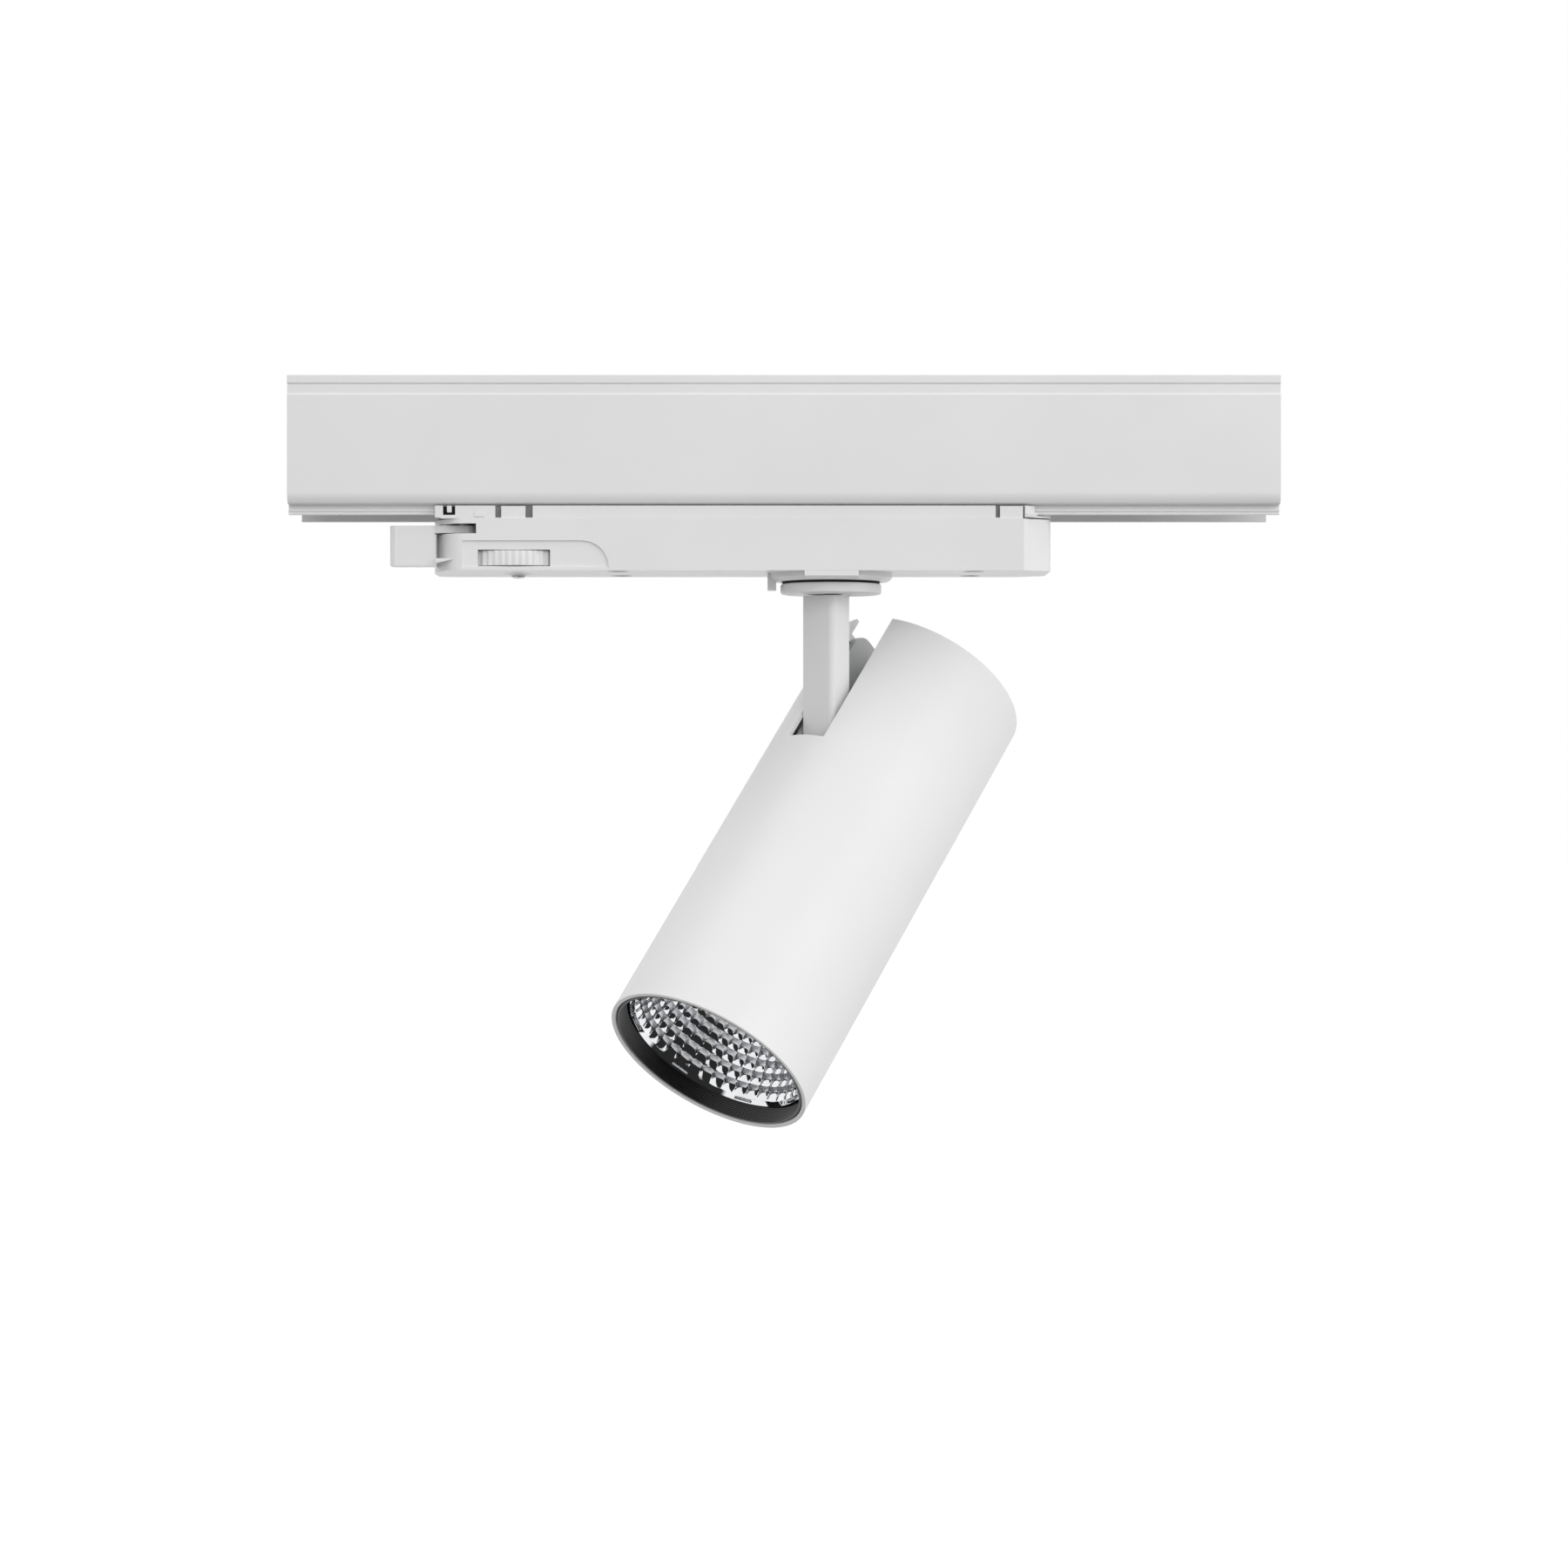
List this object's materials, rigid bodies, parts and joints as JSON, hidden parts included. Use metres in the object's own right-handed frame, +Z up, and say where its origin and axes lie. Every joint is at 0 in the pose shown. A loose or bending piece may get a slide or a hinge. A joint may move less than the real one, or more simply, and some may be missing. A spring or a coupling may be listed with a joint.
{
  "type": "track spotlight",
  "caption": "Cylindrical spotlight on a short ceiling track section: driver adapter with latch lever and circuit dial, pan swivel, tilt arm and deep faceted reflector.",
  "frame": {"origin": "centre of the track section's flat top face, which rests on the ceiling", "axes": "+X along the track, to the viewer's right in the rest view; +Y away from the viewer; +Z up"},
  "size_m": [0.25, 0.107, 0.1894],
  "materials": {
    "warm_white_paint": "satin powder coat, warm white",
    "white_plastic": "moulded white polycarbonate, fine satin grain",
    "grey_paint": "folded steel, grey powder coat",
    "grey_plastic": "moulded grey plastic or filled silicone",
    "black_plastic": "black moulded plastic",
    "zinc_steel": "zinc-plated steel",
    "bare_copper": "bare drawn copper",
    "vapour_chrome": "plastic with vacuum-deposited aluminium",
    "cast_aluminium": "die-cast aluminium",
    "circuit_board": "solder-masked board",
    "phosphor": "phosphor in silicone"
  },
  "bodies": {
    "track": {"track_profile": "warm_white_paint", "track_insulator_front": "black_plastic", "track_insulator_back": "black_plastic", "track_conductor_front_1": "bare_copper", "track_conductor_front_2": "bare_copper", "track_conductor_back_1": "bare_copper", "track_conductor_back_2": "bare_copper"},
    "adapter": {"adapter_lower_housing": "white_plastic", "adapter_upper_body": "white_plastic", "driver_board": "circuit_board", "transformer": "black_plastic", "capacitor": "black_plastic", "choke": "bare_copper", "terminal_block": "grey_plastic", "neutral_contact": "bare_copper", "live_contact": "bare_copper", "earth_contact": "bare_copper", "housing_screw_1": "zinc_steel", "housing_screw_2": "zinc_steel", "housing_screw_3": "zinc_steel", "housing_screw_4": "zinc_steel", "swivel_bush": "grey_plastic", "dial_screw": "zinc_steel"},
    "lever": {"lock_lever": "white_plastic", "lever_shaft": "zinc_steel", "latch_cam": "zinc_steel"},
    "dial": {"circuit_dial": "white_plastic", "dial_shaft": "white_plastic", "selector_cam": "white_plastic"},
    "swivel": {"swivel_gasket": "black_plastic", "spring_washer": "zinc_steel", "swivel_nut": "zinc_steel", "swivel_disk": "warm_white_paint", "swivel_tube": "zinc_steel", "stem_arm": "warm_white_paint"},
    "head": {"head_tube": "warm_white_paint", "rear_cover": "warm_white_paint", "front_baffle": "black_plastic", "reflector": "vapour_chrome", "thermal_pad": "grey_plastic", "led_board": "circuit_board", "led_emitter": "phosphor", "led_holder": "white_plastic", "heat_sink": "cast_aluminium", "hinge_bracket": "grey_paint", "bracket_screw_1": "zinc_steel", "bracket_screw_2": "zinc_steel", "hinge_pin": "zinc_steel", "hinge_nut": "zinc_steel", "friction_washer_left": "zinc_steel", "friction_washer_right": "zinc_steel"}
  },
  "joints": [
    {"name": "adapter_slide", "type": "slide", "parent": "track", "child": "adapter", "axis": [1, 0, 0], "range_m": [-0.025, 0.055]},
    {"name": "latch_lever", "type": "hinge", "parent": "adapter", "child": "lever", "pos_m": [-0.0808, -0.0102, -0.0388], "axis": [0, 0, 1], "range_deg": [0, 90]},
    {"name": "circuit_dial_turn", "type": "hinge", "parent": "adapter", "child": "dial", "pos_m": [-0.0679, 0, -0.046], "axis": [0, 0, 1], "range_deg": [-90, 90]},
    {"name": "pan", "type": "hinge", "parent": "adapter", "child": "swivel", "pos_m": [0.012, 0, -0.0533], "axis": [0, 0, 1], "range_deg": [-175, 175]},
    {"name": "tilt", "type": "hinge", "parent": "swivel", "child": "head", "pos_m": [0.01077, -0.00132, -0.0922], "axis": [-0.7314, 0.682, 0], "range_deg": [-40.7, 49.3]}
  ]
}
